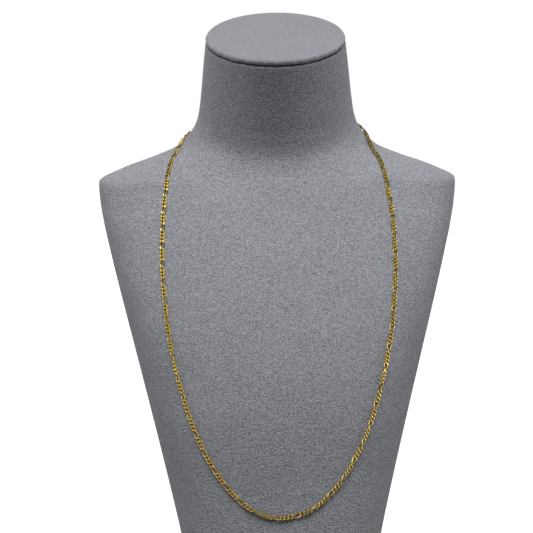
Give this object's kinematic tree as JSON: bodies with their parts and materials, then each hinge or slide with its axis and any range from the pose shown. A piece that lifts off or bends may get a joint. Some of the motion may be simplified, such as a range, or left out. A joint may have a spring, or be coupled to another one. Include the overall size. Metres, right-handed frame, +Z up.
{
  "type": "figaro chain on a neck bust",
  "caption": "Fine gold figaro chain, a closed loop of short and long links with a hidden clasp, lying on a plain grey suede neck bust with a round cap.",
  "frame": {"origin": "middle of the bust's flat base, on the surface it stands on", "axes": "+Z up, -Y the way the chest faces, +X towards the right of the picture"},
  "size_m": [0.186, 0.1436, 0.2895],
  "materials": {
    "bust_suede": "matt grey suede with a short nap",
    "cap_suede": "matt grey suede with a short nap",
    "chain_gold": "polished yellow gold",
    "clasp_gold": "polished yellow gold"
  },
  "bodies": {
    "root": {"bust_body": "bust_suede", "neck_cap": "cap_suede", "chain_left": "chain_gold", "chain_right": "chain_gold", "clasp": "clasp_gold", "clasp_ring": "clasp_gold", "end_ring": "clasp_gold"}
  },
  "joints": []
}
